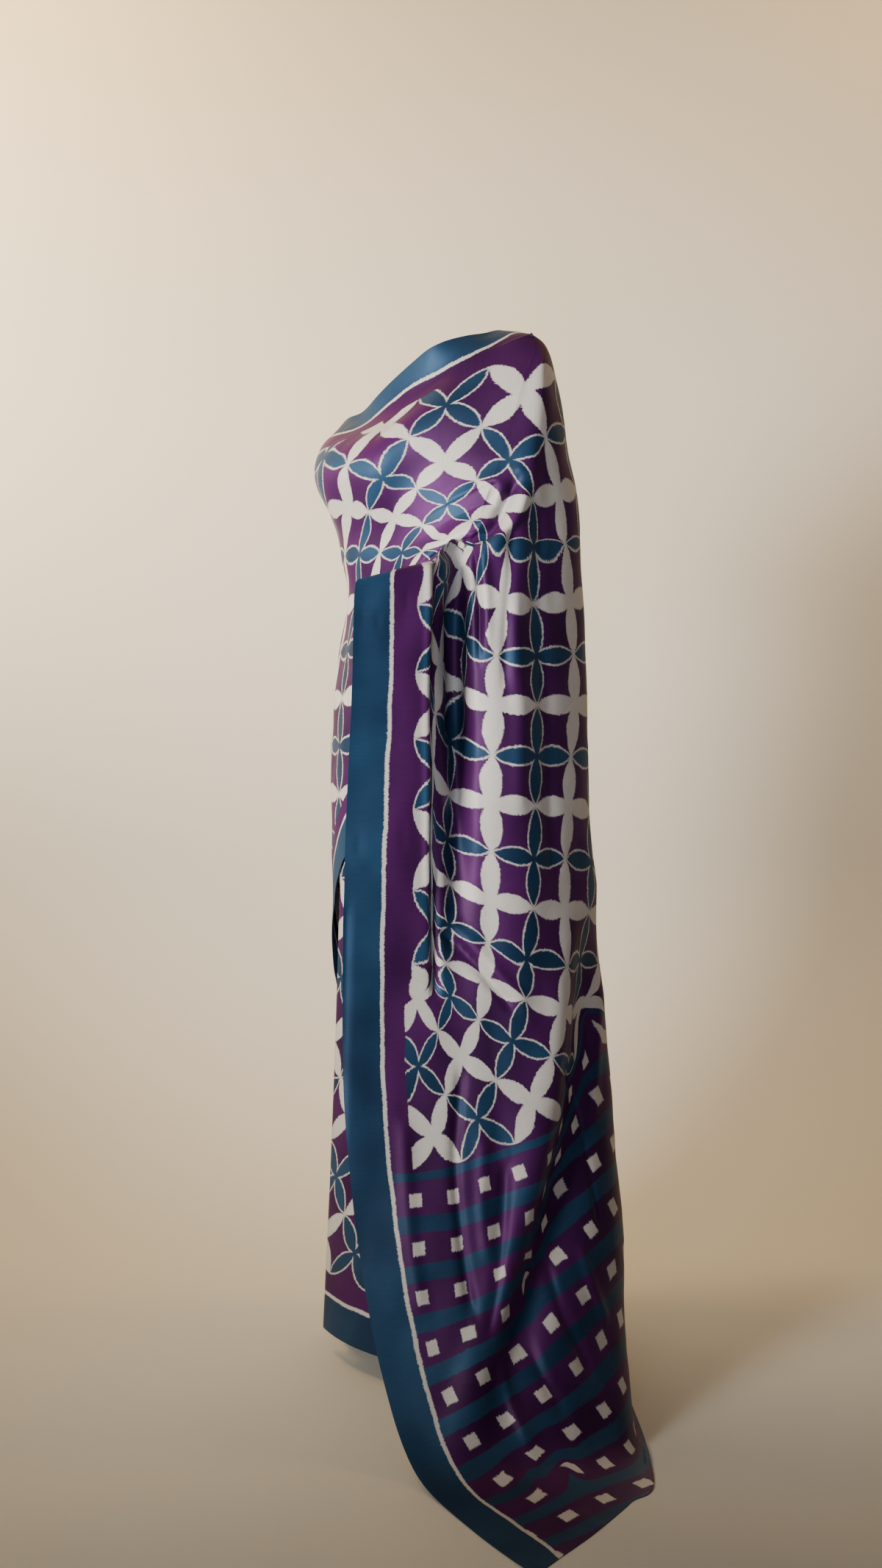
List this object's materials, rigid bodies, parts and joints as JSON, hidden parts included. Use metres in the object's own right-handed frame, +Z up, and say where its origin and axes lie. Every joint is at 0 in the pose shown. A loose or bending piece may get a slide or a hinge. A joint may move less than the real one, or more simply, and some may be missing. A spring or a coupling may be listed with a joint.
{
  "type": "worn silk saree",
  "caption": "Silk saree in its worn shape: pleated wrapped skirt, cloth across the bust to the left shoulder, open pallu over the left arm and down to a short train",
  "frame": {"origin": "the middle of the wearer's waist at the tuck line, where the saree is held", "axes": "+X to the wearer's left, -Y to the wearer's front, +Z up; the floor is 1.135 m below the origin"},
  "size_m": [0.7759, 0.6242, 1.5144],
  "materials": {
    "field_silk": "satin",
    "border_silk": "satin",
    "end_silk": "satin"
  },
  "bodies": {
    "root": {"skirt_wrap": "field_silk", "skirt_pleats": "field_silk", "hip_wrap": "field_silk", "bodice_drape": "field_silk", "pallu_shoulder": "field_silk", "pallu_forearm_panel": "border_silk", "pallu_arm_fall": "field_silk", "pallu_back_fall": "field_silk", "pallu_train": "end_silk"}
  },
  "joints": []
}
